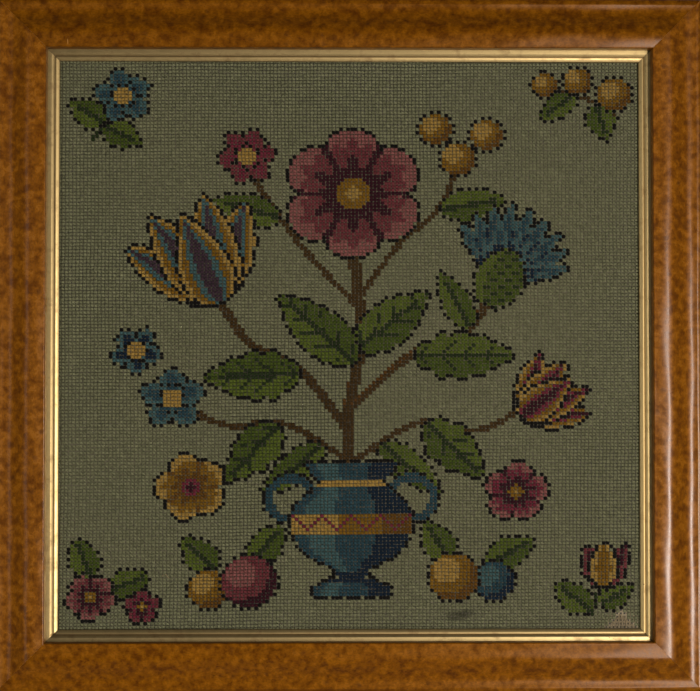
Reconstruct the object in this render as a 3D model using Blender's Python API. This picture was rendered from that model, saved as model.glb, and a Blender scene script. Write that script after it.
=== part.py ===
"""Framed canvas-work embroidery: four mitred maple rails, four gilt slips, the stitched canvas and
the board that it is stretched over.

The work faces -Y and stands upright, with +Z up. The origin is on the wall plane, at the middle of
the flat back of the top rail. In a moulding's section u runs outward from the sight edge and h runs
forward from the wall. All sizes are in metres.
"""

import math

import bmesh
import bpy

# Clear opening between the sight edges of the rails
OPENING_W = 0.418
OPENING_H = 0.409

# Rail moulding: a deep lip, a broad low swell, a long fall to a hollow and a slightly raised outer edge
RAIL_W = 0.0348
REBATE_W = 0.006
LIP_FRONT_H = 0.0202
SHOULDER_U = 0.0010
SHOULDER_H = 0.0212
CREST_U = 0.0098
CREST_H = 0.0222
HOLLOW_U = 0.0272
HOLLOW_H = 0.0154
EDGE_U = 0.0313
EDGE_H = 0.0159
SIDE_H = 0.0135
BACK_ARRIS = 0.0008

# Gilt slip: a low rounded bead at its sight edge, a sharp groove and a broad band with a bevelled edge
SLIP_SIGHT_W = 0.0080
SLIP_FOOT_H = 0.0014
SLIP_NOSE_U = 0.0003
SLIP_NOSE_H = 0.0020
SLIP_BEAD_U = 0.0030
SLIP_BEAD_H = 0.0030
SLIP_GROOVE_U = 0.0035
SLIP_GROOVE_H = 0.0019
SLIP_STEP_U = 0.0039
SLIP_STEP_H = 0.0024
SLIP_BAND_U = 0.0054
SLIP_BAND_H = 0.0031
SLIP_SEAT_H = 0.0036

# The stack in the rebate, from the wall forward
BOARD_BACK_H = 0.0030
BOARD_T = 0.0030
CANVAS_T = 0.0020
GAP = 0.0003

# The canvas lies a little proud of its tucked edges, in shallow uneven swells
SWELL_H = 0.0007
CANVAS_CELLS = 24
FLAT_MARGIN = 0.018

# Faceting of the curved stretches
FALL_STEPS = 14
SWEEP_STEPS = 6
ROUND_STEPS = 6
SMOOTH_ANGLE = math.radians(35)

# Heights that follow from the sizes above
CANVAS_BACK_H = BOARD_BACK_H + BOARD_T + GAP
SLIP_BACK_H = CANVAS_BACK_H + CANVAS_T + GAP
LIP_BACK_H = SLIP_BACK_H + SLIP_SEAT_H + GAP
OPENING_TOP_Z = -(REBATE_W + RAIL_W) / 2
OPENING_MID_Z = OPENING_TOP_Z - OPENING_H / 2
TUCK = REBATE_W - GAP
MITRE_SET_BACK = GAP / math.sqrt(2)

# Side of the opening: name, turn about Y, half the opening's length along it, distance from its middle
SIDES = (
    ("top", 0.0, OPENING_W / 2, OPENING_H / 2),
    ("right", math.pi / 2, OPENING_H / 2, OPENING_W / 2),
    ("bottom", math.pi, OPENING_W / 2, OPENING_H / 2),
    ("left", -math.pi / 2, OPENING_H / 2, OPENING_W / 2),
)


def clear_scene():
    """Removes the objects that the new file starts with."""
    for old in list(bpy.data.objects):
        bpy.data.objects.remove(old, do_unlink=True)


def material(name, colour, roughness, metallic=0.0):
    """A plain surface of one colour."""
    made = bpy.data.materials.new(name)
    made.use_nodes = True
    surface = made.node_tree.nodes["Principled BSDF"]
    surface.inputs["Base Color"].default_value = (*colour, 1.0)
    surface.inputs["Roughness"].default_value = roughness
    surface.inputs["Metallic"].default_value = metallic
    return made


def add_object(name, mesh_data, surface):
    """Puts a finished mesh in the scene with its material, smooth but for its arrises."""
    mesh = bpy.data.meshes.new(name)
    bmesh.ops.recalc_face_normals(mesh_data, faces=mesh_data.faces)
    mesh_data.to_mesh(mesh)
    mesh_data.free()
    mesh.materials.append(surface)
    mesh.shade_smooth()
    mesh.set_sharp_from_angle(angle=SMOOTH_ANGLE)
    made = bpy.data.objects.new(name, mesh)
    bpy.context.scene.collection.objects.link(made)
    return made


def ease(start, end, steps):
    """Points of an S-shaped stretch that is level at both ends, without its first point."""
    points = []
    for step in range(1, steps + 1):
        part = step / steps
        rise = (1 - math.cos(math.pi * part)) / 2
        points.append((start[0] + (end[0] - start[0]) * part, start[1] + (end[1] - start[1]) * rise))
    return points


def sweep(start, end, steps):
    """Points of a stretch that is level at its start and steepest at its end, without its first point."""
    points = []
    for step in range(1, steps + 1):
        part = step / steps
        rise = 1 - math.cos(math.pi / 2 * part)
        points.append((start[0] + (end[0] - start[0]) * part, start[1] + (end[1] - start[1]) * rise))
    return points


def quarter_round(crest, side, steps):
    """Points of a quarter ellipse from a level crest to an upright side, both included."""
    points = []
    for step in range(steps + 1):
        turn = math.pi / 2 * step / steps
        u = crest[0] + (side[0] - crest[0]) * math.sin(turn)
        h = side[1] + (crest[1] - side[1]) * math.cos(turn)
        points.append((u, h))
    return points


def rail_section():
    """The maple moulding, with its rebate at the back."""
    shoulder = (SHOULDER_U, SHOULDER_H)
    crest = (CREST_U, CREST_H)
    hollow = (HOLLOW_U, HOLLOW_H)
    edge = (EDGE_U, EDGE_H)
    section = list(reversed(quarter_round(shoulder, (0.0, LIP_FRONT_H), ROUND_STEPS)))
    section += list(reversed(sweep(crest, shoulder, SWEEP_STEPS)))[1:]
    section += [crest]
    section += ease(crest, hollow, FALL_STEPS)
    section += sweep(hollow, edge, SWEEP_STEPS)
    section += quarter_round(edge, (RAIL_W, SIDE_H), ROUND_STEPS)[1:]
    section += [
        (RAIL_W, BACK_ARRIS),
        (RAIL_W - BACK_ARRIS, 0.0),
        (REBATE_W, 0.0),
        (REBATE_W, LIP_BACK_H),
        (0.0, LIP_BACK_H),
    ]
    return section


def slip_section():
    """The gilt slip. Its u starts at its own sight edge and h at its flat back."""
    nose = (SLIP_NOSE_U, SLIP_NOSE_H)
    bead = (SLIP_BEAD_U, SLIP_BEAD_H)
    outer_u = SLIP_SIGHT_W + TUCK
    section = [(0.0, SLIP_FOOT_H)]
    section += list(reversed(sweep(bead, nose, SWEEP_STEPS)))
    section += [
        bead,
        (SLIP_GROOVE_U, SLIP_GROOVE_H),
        (SLIP_STEP_U, SLIP_STEP_H),
        (SLIP_BAND_U, SLIP_BAND_H),
        (SLIP_SIGHT_W, SLIP_SEAT_H),
        (outer_u, SLIP_SEAT_H),
        (outer_u, 0.0),
        (0.0, 0.0),
    ]
    return section


def mitred_bar(name, section, half_length, surface):
    """A bar along X with this section, its ends cut at 45 degrees and set back for the joint."""
    bar = bmesh.new()
    outline = [bar.verts.new((0.0, -h, u)) for u, h in section]
    start_face = bar.faces.new(outline)
    grown = bmesh.ops.extrude_face_region(bar, geom=[start_face], use_keep_orig=True)
    far = {part for part in grown["geom"] if isinstance(part, bmesh.types.BMVert)}
    for vert in bar.verts:
        reach = half_length + vert.co.z - MITRE_SET_BACK
        vert.co.x = reach if vert in far else -reach
    return add_object(name, bar, surface)


def add_mouldings(kind, section, inset, base_h, surface):
    """Four mitred bars around an opening that is smaller than the rails' by inset on each side."""
    for side, turn, half_length, distance in SIDES:
        bar = mitred_bar(f"{kind}_{side}", section, half_length - inset, surface)
        bar.rotation_euler = (0.0, turn, 0.0)
        reach = distance - inset
        x = reach * math.sin(turn)
        z = reach * math.cos(turn)
        bar.location = (x, -base_h, OPENING_MID_Z + z)


def swell(x, z):
    """How far the canvas stands proud of its tucked edge at this place, from none at its margin."""
    half_w = OPENING_W / 2 - FLAT_MARGIN
    half_h = OPENING_H / 2 - FLAT_MARGIN
    across = max(0.0, 1 - (x / half_w) ** 2)
    up = max(0.0, 1 - (z / half_h) ** 2)
    crown = math.sqrt(across * up)
    lumps = math.sin(41 * x + 17 * z + 0.6) + math.sin(29 * z - 23 * x + 2.1) + math.sin(63 * x + 1.4)
    return SWELL_H * crown * (0.62 + 0.126 * lumps)


def add_needlework(surface):
    """The stitched canvas, one sheet that reaches under the slips to the rebate."""
    sheet = bmesh.new()
    bmesh.ops.create_grid(sheet, x_segments=CANVAS_CELLS, y_segments=CANVAS_CELLS, size=0.5)
    front = list(sheet.faces)
    grown = bmesh.ops.extrude_face_region(sheet, geom=front, use_keep_orig=True)
    back = {part for part in grown["geom"] if isinstance(part, bmesh.types.BMVert)}
    width = OPENING_W + 2 * TUCK
    height = OPENING_H + 2 * TUCK
    for vert in sheet.verts:
        x = vert.co.x * width
        z = vert.co.y * height
        h = swell(x, z) + (0.0 if vert in back else CANVAS_T)
        vert.co = (x, -h, z)
    made = add_object("needlework", sheet, surface)
    made.location = (0.0, -CANVAS_BACK_H, OPENING_MID_Z)


def add_board(surface):
    """The plain board that closes the back of the rebate."""
    board = bmesh.new()
    bmesh.ops.create_cube(board, size=1.0)
    size = (OPENING_W + 2 * TUCK, BOARD_T, OPENING_H + 2 * TUCK)
    bmesh.ops.scale(board, vec=size, verts=board.verts)
    made = add_object("backing_board", board, surface)
    made.location = (0.0, -(BOARD_BACK_H + BOARD_T / 2), OPENING_MID_Z)


def main():
    clear_scene()
    maple = material("varnished_maple", (0.20, 0.075, 0.008), 0.30)
    gilt = material("gilt", (0.56, 0.40, 0.17), 0.38, 0.8)
    wool = material("wool_on_canvas", (0.080, 0.072, 0.036), 0.92)
    plain_board = material("plain_board", (0.30, 0.20, 0.11), 0.85)
    add_mouldings("rail", rail_section(), 0.0, 0.0, maple)
    add_mouldings("slip", slip_section(), SLIP_SIGHT_W, SLIP_BACK_H, gilt)
    add_needlework(wool)
    add_board(plain_board)


main()
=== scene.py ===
"""The finished look of a framed canvas-work embroidery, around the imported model.

The frame is a mitred moulding veneered in bird's-eye maple with a gilt slip. The work is wool cross
stitch on canvas, made stitch by stitch from a counted chart of a vase of flowers. Everything is in
metres; the work faces -Y, +Z is up and the origin is on the wall behind the top rail. In a
moulding's section u runs outward from the sight edge and h runs forward from the wall.
"""

import math

import bpy
import numpy as np
from bpy.props import FloatProperty, FloatVectorProperty, PointerProperty
from bpy.types import Operator, Panel, PropertyGroup
from mathutils import Matrix, Vector


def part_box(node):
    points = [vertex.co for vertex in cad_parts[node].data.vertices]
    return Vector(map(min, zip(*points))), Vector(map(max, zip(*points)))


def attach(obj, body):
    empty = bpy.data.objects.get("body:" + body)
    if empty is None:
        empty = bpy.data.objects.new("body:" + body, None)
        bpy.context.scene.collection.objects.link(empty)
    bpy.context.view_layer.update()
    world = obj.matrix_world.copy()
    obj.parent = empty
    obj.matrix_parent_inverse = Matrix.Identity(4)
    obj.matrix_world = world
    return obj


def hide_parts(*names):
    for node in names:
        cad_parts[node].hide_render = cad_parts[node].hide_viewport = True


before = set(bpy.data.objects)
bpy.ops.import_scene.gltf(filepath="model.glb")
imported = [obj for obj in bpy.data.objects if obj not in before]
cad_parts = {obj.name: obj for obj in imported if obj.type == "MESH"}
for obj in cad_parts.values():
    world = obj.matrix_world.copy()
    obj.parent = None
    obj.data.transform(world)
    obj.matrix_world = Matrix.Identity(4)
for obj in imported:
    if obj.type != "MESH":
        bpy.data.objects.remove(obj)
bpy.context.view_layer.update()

bl_info = {
    "name": "Framed canvas-work embroidery",
    "version": (1, 0, 0),
    "blender": (4, 5, 0),
    "location": "View3D > Sidebar > Embroidery",
    "description": "Makes a wool cross-stitch picture in a maple frame with a gilt slip",
    "category": "Object",
}

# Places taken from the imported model
OPENING_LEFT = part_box("rail_left")[1].x
OPENING_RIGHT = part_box("rail_right")[0].x
OPENING_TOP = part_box("rail_top")[0].z
OPENING_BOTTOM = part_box("rail_bottom")[1].z
SIGHT_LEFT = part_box("slip_left")[1].x
SLIP_LOW, SLIP_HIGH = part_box("slip_left")
CANVAS_LOW, CANVAS_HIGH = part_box("needlework")
RAIL_LOW, RAIL_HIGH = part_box("rail_left")
OPENING_W = OPENING_RIGHT - OPENING_LEFT
OPENING_H = OPENING_TOP - OPENING_BOTTOM
OPENING_MID = Vector(((OPENING_LEFT + OPENING_RIGHT) / 2, 0.0, (OPENING_TOP + OPENING_BOTTOM) / 2))
SLIP_SIGHT_W = SIGHT_LEFT - OPENING_LEFT
SLIP_BACK_H = -SLIP_HIGH.y
CANVAS_BACK_H = -CANVAS_HIGH.y
CANVAS_W = CANVAS_HIGH.x - CANVAS_LOW.x
CANVAS_H = CANVAS_HIGH.z - CANVAS_LOW.z

# How far the ends of the bars are set back from their mitres
RAIL_SET_BACK = 0.00005
SLIP_SET_BACK = 0.00016
# The veneer stands proud of the solid on a rail's outer side
VENEER_T = 0.0006
# Waves by which a bar's shown face strays: share, radians per metre along and across it, and how
# many times its side's phase
BAR_WAVES = ((1, 31, 260, 1), (0.6, 83, -410, 2))
BAR_PHASE = 1.7
# How far each next bar lies from the last in its material's pattern
RAIL_SHIFT = Vector((0.31, 0.07, 0.0))
SLIP_SHIFT = Vector((0.27, 0.0, 0.0))
# Edges sharper than this stay crisp
BAR_ARRIS = math.radians(16)
CANVAS_ARRIS = math.radians(40)
# A bar's two materials
SHOWN, HIDDEN = 0, 1
# Steps along a bar, round its curves and across the canvas
BAR_STATIONS = 48
RAIL_CURVE_STEPS = 10
SLIP_CURVE_STEPS = 8
CANVAS_CELLS = 48
# The canvas swells inside this flat margin, by this share on the whole and by this for the lumps,
# which are waves: share, radians per metre across and up, phase
FLAT_MARGIN = 0.018
SWELL_SHARE = 0.62
LUMP_SHARE = 0.126
LUMPS = ((1, 41, 17, 0.6), (1, -23, 29, 2.1), (1, 63, 0, 1.4))
# Waves by which columns and rows of stitches drift
DRIFT_ACROSS = ((1, 0, 9, 1.1), (0.5, 14, 23, 0), (0.25, -9, 71, 0))
DRIFT_UP = ((1, 8, 0, 0.4), (0.5, 21, -12, 0), (0.25, 64, 11, 0))

# The chart, with one stitch on each side that lies under the slip
COLUMNS = 160
ROWS = 168
SEED = 41

# Side: turn about Y, half the opening along it, distance from the opening's middle
SIDES = {
    "top": (0.0, OPENING_W / 2, OPENING_H / 2),
    "right": (math.pi / 2, OPENING_H / 2, OPENING_W / 2),
    "bottom": (math.pi, OPENING_W / 2, OPENING_H / 2),
    "left": (-math.pi / 2, OPENING_H / 2, OPENING_W / 2),
}

# Wool shades, faded as old dyes are
YARNS = {
    "ground": "66654a",
    "black": "0f0d09",
    "light green": "47511b",
    "mid green": "3a4515",
    "dark green": "202912",
    "light gold": "866a32",
    "mid gold": "684a11",
    "dark gold": "53370f",
    "light rose": "71443f",
    "mid rose": "5b2a2c",
    "wine": "2d1016",
    "crimson": "5b212b",
    "light blue": "364d4c",
    "mid blue": "22383e",
    "navy": "101c28",
    "mauve": "34262c",
    "brown": "382810",
    "rust": "482e0e",
}
YARN_NUMBER = {name: number for number, name in enumerate(YARNS)}

# Stitches made as one piece: its name and the wools in it; the ground is made in bands
STITCH_GROUPS = {
    "stitches_outline": ("black",),
    "stitches_green": ("light green", "mid green", "dark green"),
    "stitches_gold": ("light gold", "mid gold", "dark gold"),
    "stitches_rose": ("light rose", "mid rose", "wine", "crimson"),
    "stitches_blue": ("light blue", "mid blue", "navy"),
    "stitches_brown": ("mauve", "brown", "rust"),
}
GROUND_BANDS = 4
# How far a stitch's place strays, as a share of its width
PLACE_JITTER = 0.03
# Widths and rises of strands: mean, spread, least and most
STRAND_WIDTHS = (1.0, 0.07, 0.8, 1.2)
STRAND_RISES = (0.93, 0.05, 0.78, 1.0)
# How deep a strand starts in the canvas, and its run and climb as shares of the stitch
STRAND_FOOT = 0.75
STRAND_RUN = 0.96
STRAND_CLIMB = 0.88
# Rings of a strand: place along it, share of its width and of its rise
UPPER_RINGS = ((0.15, 0.80, 0.66), (0.50, 1.05, 1.00), (0.85, 0.80, 0.66))
UNDER_RINGS = ((0.24, 0.95, 0.68), (0.76, 0.95, 0.68))
# How much thicker the wool of the motifs is, and how much thicker and higher the black is than that
MOTIF_WIDER = 1.13
BLACK_WIDER = 1.04
BLACK_HIGHER = 1.05

# A worn corner at the bottom right, where some stitches have gone: a peak of rows on a wider foot
NO_YARN = -1
WORN_COLUMN = 154
WORN_ROWS = 5.2
WORN_SLOPE = 1.1
WORN_FOOT_ROWS = 2
WORN_FOOT_HALF = 3
WORN_PLACE = (0.189, 0.0, -0.197)
WORN_REACH = (0.016, 1.0, 0.014)

# Canvas threads that have sprung up there: their number, the fan that they make, and their own sizes
THREADS = 14
FAN_HALF_W = 0.0095
FAN_H = 0.0098
FAN_LEAN_IN = 0.0045
FAN_FOOT_H = 0.0005
FAN_SHORTENING = 0.62
THREAD_LENGTHS = (0.8, 1.1)
THREAD_BENDS = (0.3, 1.0)
THREAD_STRAY = 0.00025
THREAD_ARCH = 0.0010
THREAD_LIFT = 0.0006
THREAD_R = 0.00021
THREAD_SIDES = 5
THREAD_POINTS = 5
# A bit of lint on the stitches: its place from the middle of the work, length, bend, turn and height
LINT_PLACE = (-0.1267, -0.1601)
LINT_LENGTH = 0.0055
LINT_BEND = 0.0016
LINT_TURN = 5
LINT_LIFT = 0.0007
LINT_POINTS = 8

# Gaps in a black outline: 1 is a stitch, 0 leaves the ground
DOTTED = (1, 0, 1, 0, 1, 1, 0)
DASHED = (1, 1, 1, 1, 0, 1, 1, 1, 0)

# Shade of each rail's veneer, as a share of the maple colours
RAIL_SHADES = {"top": 0.78, "right": 1.0, "bottom": 0.86, "left": 1.0}
# Weight of the varnish's gloss on each rail, as the top and bottom are dustier
RAIL_GLOSS = {"top": 0.12, "right": 0.30, "bottom": 0.09, "left": 0.30}
# Painted light and shade on each slip's gilding, as a share of the gold colours: darker on the top
# and bottom and brighter on the right, standing in for how the lamps fall on each side
SLIP_PAINTED_LIGHT = {"top": 0.54, "right": 1.05, "bottom": 0.48, "left": 0.72}

# Marks: place along a bar and out from its sight edge, half sizes both ways, colour. The long one
# is painted shade, darkening the bottom rail's outer edge where it turns down away from the lamps.
RAIL_MARKS = {
    "top": ((-0.1940, 0.0034, 0.0003, 0.0022, "a5763c"),),
    "right": ((0.1208, 0.0107, 0.0005, 0.0005, "2a1606"), (0.2035, 0.0252, 0.0011, 0.0009, "35190a")),
    # Painted shade along the bottom rail's outer edge
    "bottom": ((0.0350, 0.0352, 0.1500, 0.0036, "3a1a02"),),
    "left": (),
}
SLIP_MARKS = {
    "top": (),
    "right": ((0.1658, 0.0022, 0.0005, 0.0007, "3d2c14"),),
    "bottom": (
        (-0.1793, 0.0060, 0.0006, 0.0005, "2e200e"),
        (-0.1821, 0.0066, 0.0005, 0.0003, "3d2c14"),
        (0.2030, 0.0026, 0.0014, 0.0009, "57421f"),
    ),
    "left": ((-0.2000, 0.0040, 0.0012, 0.0016, "57421f"),),
}

# Marks on the ground stitches, from the middle of the work: a smudge, dark specks and a pale fleck
WOOL_MARKS = (
    (0.0740, -0.1880, 0.0110, 0.0042, "1d1c14"),
    (0.0810, -0.1860, 0.0080, 0.0030, "1d1c14"),
    (0.1707, 0.1070, 0.0012, 0.0010, "2c2a1c"),
    (-0.0763, -0.1690, 0.0012, 0.0012, "2c2a1c"),
    (-0.1032, -0.0662, 0.0011, 0.0010, "2c2a1c"),
    (0.0210, -0.1600, 0.0014, 0.0011, "9a927a"),
)
# Noise that makes a mark's rim uneven: its grain and reach. The rim is soft from this share outward.
MARK_GRAIN_MM = 1.5
MARK_STRAY = 0.0006
MARK_SOFT_FROM = 0.45

# The vase's profile: share of its height, share of its half width
VASE_PROFILE = (
    (0.0, 0.62), (0.06, 0.60), (0.13, 0.22), (0.20, 0.26), (0.32, 0.78), (0.52, 1.00),
    (0.68, 0.92), (0.80, 0.62), (0.86, 0.50), (0.94, 0.66), (1.0, 0.72),
)

# Lamps: watts, place from the work's middle, width, height, tint, lights matt, lights gloss
WARM = (1.0, 0.94, 0.88)
PLAIN = (1.0, 1.0, 1.0)
LAMPS = {
    "right_lamp": (13.0, (0.50, -1.16, -0.15), 0.18, 0.55, WARM, True, True),
    "glow_lamp": (3.2, (0.84, -1.10, -0.05), 0.5, 0.9, WARM, False, True),
    "low_lamp": (16.0, (0.57, -1.14, -0.29), 0.34, 0.42, WARM, False, True),
    "left_lamp": (2.0, (-1.06, -1.00, -0.10), 0.45, 0.9, PLAIN, True, True),
    "fill_lamp": (5.5, (-0.70, -1.20, 0.10), 1.0, 1.0, PLAIN, True, False),
    "back_lamp": (14.0, (0.60, 1.40, 0.50), 1.2, 1.2, PLAIN, True, False),
}
ROOM_TINT = (0.9, 0.95, 1.0, 1.0)
ROOM_STRENGTH = 0.10
FLOOR_REACH = 4.0
SENSOR_MM = 36.0
# Nearest and farthest that the camera sees
CAMERA_SEES = (0.01, 20.0)


def linear(hex_colour):
    """An sRGB hex colour as linear red, green and blue."""
    parts = [int(hex_colour[start:start + 2], 16) / 255 for start in (0, 2, 4)]
    return tuple(part / 12.92 if part <= 0.04045 else ((part + 0.055) / 1.055) ** 2.4 for part in parts)


def colour(name, hex_colour, what):
    """A colour property with its default."""
    return FloatVectorProperty(
        name=name, description=what, subtype="COLOR", size=3, min=0.0, max=1.0, default=linear(hex_colour)
    )


def length(name, default, what, low=0.0):
    """A length property in metres."""
    return FloatProperty(name=name, description=what, default=default, min=low, unit="LENGTH", precision=5)


def angle(name, degrees, what):
    """An angle property."""
    return FloatProperty(name=name, description=what, default=math.radians(degrees), unit="ROTATION")


def key(name):
    """A yarn's name as the name of its property."""
    return name.replace(" ", "_")


def section_sizes(points):
    """Place and height properties for the named points of a moulding's section."""
    made = {}
    for point, (u, h, what) in points.items():
        title = point.capitalize()
        if u is not None:
            made[point + "_u"] = length(title + " place", u, f"Distance of {what} from the sight edge")
        made[point + "_h"] = length(title + " height", h, f"Height of {what}")
    return made


class RailSizes(PropertyGroup):
    """The maple moulding's section."""

    __annotations__ = section_sizes({
        "lip": (None, 0.0202, "the upright lip at the sight edge"),
        "shoulder": (0.0010, 0.0212, "the lip's rounded shoulder"),
        "crest": (0.0098, 0.0222, "the broad swell's crest"),
        "hollow": (0.0272, 0.0154, "the bottom of the hollow"),
        "edge": (0.0313, 0.0159, "the raised outer edge"),
        "side": (None, 0.0135, "the upright side"),
    })
    rebate_w: length("Rebate width", 0.006, "Width of the rebate behind the lip")
    lip_back_h: length("Lip back", 0.0125, "Height of the underside of the lip")
    arris: length("Back arris", 0.0008, "Width of the eased arris at the back")
    wobble: length("Wobble", 0.00012, "How far the hand-worked surface strays")
    maple_light: colour("Light maple", "7a4803", "Honey-coloured figure of the veneer")
    maple_dark: colour("Dark maple", "4a2502", "Brown figure of the veneer")


class SlipSizes(PropertyGroup):
    """The gilt slip's section; its u starts at its own sight edge and its h at its flat back."""

    __annotations__ = section_sizes({
        "foot": (None, 0.0014, "the upright edge on the canvas"),
        "nose": (0.0003, 0.0020, "the start of the bead"),
        "bead": (0.0030, 0.0030, "the top of the bead"),
        "groove": (0.0035, 0.0022, "the bottom of the groove"),
        "step": (0.0039, 0.0025, "the foot of the band's bevelled edge"),
        "band": (0.0054, 0.0033, "the band's inner arris"),
        "seat": (None, 0.0036, "the part that the rail covers"),
    })
    wobble: length("Wobble", 0.000015, "How far the gilded surface strays")
    gold_leaf: colour("Gold leaf", "a68e5d", "Colour of sound gilding")
    worn_leaf: colour("Worn leaf", "6d532f", "Colour where the leaf is rubbed to the clay under it")


class CanvasSizes(PropertyGroup):
    """The canvas and its stitches."""

    stitch_w: length("Stitch width", 0.00254, "Width of a stitch: ten to the inch")
    stitch_h: length("Stitch height", 0.00236, "Height of a stitch")
    canvas_t: length("Canvas thickness", 0.0006, "Thickness of the bare canvas")
    yarn_w: length("Yarn width", 0.00200, "Width of a strand of wool")
    yarn_h: length("Yarn rise", 0.00180, "Height of the upper strand over the canvas")
    swell: length("Swell", 0.0007, "How far the canvas stands proud of its tucked edges")
    drift: length("Drift", 0.00075, "How far rows and columns stray from straight")
    bare_canvas: colour("Bare canvas", "7b6d52", "Linen-coloured canvas thread where it shows")
    # Painted shade: the canvas thread is darker to stand in for the shade between and under the stitches
    canvas_in_painted_shade: colour("Canvas in painted shade", "554e3a", "Canvas thread between the stitches")


class YarnColours(PropertyGroup):
    """The dyed colour of each wool."""

    __annotations__ = {
        key(name): colour(name.capitalize() + " wool", shade, f"Colour of the {name} wool")
        for name, shade in YARNS.items()
    }


class StageSettings(PropertyGroup):
    """The camera, the lamps and the floor."""

    __annotations__ = {
        name: FloatProperty(name=name.replace("_", " ").capitalize(), description="Power in watts",
                            default=watts, min=0.0)
        for name, (watts, *_) in LAMPS.items()
    }
    distance: length("Camera distance", 1.2, "Distance of the camera from the wall")
    camera_x: length("Camera X", -0.0173, "Place across", -FLOOR_REACH)
    camera_z: length("Camera Z", -0.2527, "Height from the origin", -FLOOR_REACH)
    yaw: angle("Yaw", 0.837, "Turn to the right")
    pitch: angle("Pitch", 1.303, "Turn upward")
    lens: FloatProperty(name="Lens", description="Focal length in millimetres", default=88.38, min=1.0)
    floor_drop: length("Floor drop", 0.45, "Distance of the floor below the frame")
    floor_colour: colour("Floor", "d8d5cf", "Pale matt floor")


class EmbroiderySettings(PropertyGroup):
    """All settings of the piece."""

    rail: PointerProperty(type=RailSizes)
    slip: PointerProperty(type=SlipSizes)
    canvas: PointerProperty(type=CanvasSizes)
    yarn: PointerProperty(type=YarnColours)
    stage: PointerProperty(type=StageSettings)


def settings():
    """The settings in use."""
    return bpy.context.scene.framed_embroidery


def grain(size_mm):
    """The texture scale that makes a feature about this many millimetres wide."""
    return 1000.0 / size_mm


def one_wave(pitch):
    """The wave texture scale that repeats at this distance, as the texture turns 20 radians per unit."""
    return math.tau / 20 / pitch


def shaded(base, share, more=0.0):
    """A colour at this share of its depth, with a little more in each part."""
    return tuple(min(1.0, share * part + more) for part in base)


class Surface:
    """A material in the making: its node tree, its Principled shader and the place inside its piece."""

    def __init__(self, name, base, roughness, metallic=0.0):
        self.made = bpy.data.materials.new(name)
        self.made.use_nodes = True
        self.made.diffuse_color = (*base, 1.0)
        self.tree = self.made.node_tree
        self.shader = self.tree.nodes["Principled BSDF"]
        self.put(self.shader, {"Base Color": base, "Roughness": roughness, "Metallic": metallic})
        self.inside = self.add("TexCoord").outputs["Object"]

    def add(self, kind, *values, **settings):
        """Adds a node. Plain values go to its inputs in their order, named ones to an input or option."""
        made = self.tree.nodes.new("ShaderNode" + kind)
        inputs = {}
        for name, value in settings.items():
            if name.title() in made.inputs:
                inputs[name.title()] = value
            else:
                setattr(made, name, value)
        shown = [number for number, socket in enumerate(made.inputs) if socket.enabled]
        self.put(made, {**dict(zip(shown, values)), **inputs})
        return made

    def put(self, node, inputs):
        """Sets or links inputs of a node. A node that is given stands for its first output."""
        for name, value in inputs.items():
            socket = node.inputs[name]
            if isinstance(value, bpy.types.Node):
                value = next(output for output in value.outputs if output.enabled)
            if isinstance(value, bpy.types.NodeSocket):
                self.tree.links.new(value, socket)
            else:
                socket.default_value = (*value, 1.0) if socket.type == "RGBA" else value

    def stirred(self, place, size_mm, reach):
        """A place moved about by noise of this size, by up to this reach."""
        noise = self.add("TexNoise", vector=place, scale=grain(size_mm), detail=2.0)
        return self.add("VectorMath", noise.outputs["Color"], (reach, reach, reach), place,
                        operation="MULTIPLY_ADD")

    def layered(self, tone, *layers):
        """A colour with others over it, each by a pattern, or by its range and the shares at its ends."""
        for over, pattern, *ends in layers:
            share = self.add("MapRange", pattern, *ends) if ends else pattern
            tone = self.add("Mix", share, tone, over, data_type="RGBA")
        return tone

    def marked(self, tone, marks, strength):
        """A colour with small soft-edged marks on it."""
        if marks:
            place = self.stirred(self.inside, MARK_GRAIN_MM, MARK_STRAY)
        for across, up, half_w, half_h, hex_colour in marks:
            middle = (across + MARK_STRAY / 2, 0.0, up + MARK_STRAY / 2)
            near = self.add("Mapping", place, vector_type="TEXTURE", location=middle,
                            scale=(half_w, 1.0, half_h))
            away = self.add("VectorMath", near, operation="LENGTH")
            tone = self.layered(tone, (linear(hex_colour), away, MARK_SOFT_FROM, 1.0, strength, 0.0))
        return tone

    def finished(self, tone, relief, strength, reach, **inputs):
        """The material, with its colour, relief and other inputs linked to its shader."""
        bump = self.add("Bump", strength=strength, distance=reach, height=relief)
        self.put(self.shader, {"Base Color": tone, "Normal": bump, **inputs})
        return self.made


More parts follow.
